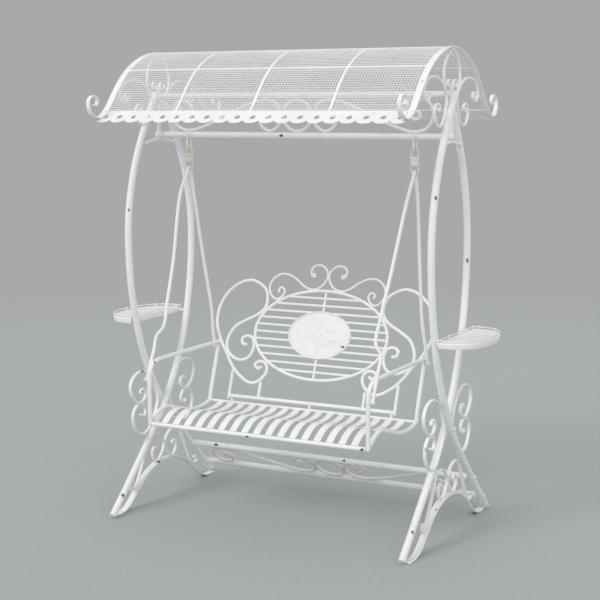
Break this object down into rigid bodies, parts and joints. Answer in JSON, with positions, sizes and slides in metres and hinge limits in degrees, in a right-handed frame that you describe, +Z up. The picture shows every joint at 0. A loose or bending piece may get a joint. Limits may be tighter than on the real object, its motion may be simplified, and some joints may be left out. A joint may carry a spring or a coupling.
{
  "type": "garden swing bench",
  "caption": "Freestanding wrought-iron garden swing bench: crossed bowed-tube side frames, arched mesh canopy with scalloped edges, side trays and a slatted seat with an oval back.",
  "frame": {"origin": "on the floor, at the centre of the swing's footprint", "axes": "+Z up, the open front of the seat faces -Y, and +X runs along the bench to the sitter's left"},
  "size_m": [1.8698, 1.1168, 2.1046],
  "materials": {
    "white_paint": "aged semi-gloss white paint, chipped in places",
    "cream_paint": "aged cream-white paint",
    "mesh_paint": "aged cream-white paint on wire mesh"
  },
  "bodies": {
    "frame": {"left_front_foot_tube": "white_paint", "left_rear_foot_tube": "white_paint", "left_upper_scrollwork": "white_paint", "left_end_arch": "white_paint", "left_front_crossing_scroll": "white_paint", "left_rear_crossing_scroll": "white_paint", "left_foot_arch": "white_paint", "left_foot_scrolls": "white_paint", "left_tray": "white_paint", "left_tray_rail": "white_paint", "left_centre_post": "white_paint", "left_arch_brace": "white_paint", "left_top_finials": "white_paint", "left_hanger_strap": "white_paint", "left_upper_stretcher_bolt": "white_paint", "left_lower_stretcher_bolt": "white_paint", "right_front_foot_tube": "white_paint", "right_rear_foot_tube": "white_paint", "right_upper_scrollwork": "white_paint", "right_end_arch": "white_paint", "right_front_crossing_scroll": "white_paint", "right_rear_crossing_scroll": "white_paint", "right_foot_arch": "white_paint", "right_foot_scrolls": "white_paint", "right_tray": "white_paint", "right_tray_rail": "white_paint", "right_centre_post": "white_paint", "right_arch_brace": "white_paint", "right_top_finials": "white_paint", "right_hanger_strap": "white_paint", "right_upper_stretcher_bolt": "white_paint", "right_lower_stretcher_bolt": "white_paint", "upper_beam": "cream_paint", "lower_beam": "cream_paint", "upper_beam_scrolls": "cream_paint", "upper_stretcher": "white_paint", "lower_stretcher": "white_paint", "stretcher_scrolls": "cream_paint", "canopy_frame": "white_paint", "canopy_mesh": "mesh_paint", "front_valance": "white_paint", "rear_valance": "white_paint"},
    "links": {"left_swivel": "cream_paint", "right_swivel": "cream_paint"},
    "seat": {"left_hanging_rods": "white_paint", "left_arm_tube": "white_paint", "left_seat_side_rail": "white_paint", "left_backrest_loop": "white_paint", "right_hanging_rods": "white_paint", "right_arm_tube": "white_paint", "right_seat_side_rail": "white_paint", "right_backrest_loop": "white_paint", "seat_front_rail": "white_paint", "seat_rear_rail": "white_paint", "seat_slats": "white_paint", "backrest_rail": "white_paint", "backrest_ring": "white_paint", "backrest_bars": "white_paint", "backrest_plaque": "white_paint", "backrest_top_scrolls": "white_paint"}
  },
  "joints": [
    {"name": "swivel_swing", "type": "hinge", "parent": "frame", "child": "links", "pos_m": [0, 0, 1.6773], "axis": [1, 0, 0], "range_deg": [-25, 25]},
    {"name": "seat_swing", "type": "hinge", "parent": "links", "child": "seat", "pos_m": [0, 0, 1.567], "axis": [1, 0, 0], "range_deg": [-15, 15]}
  ]
}
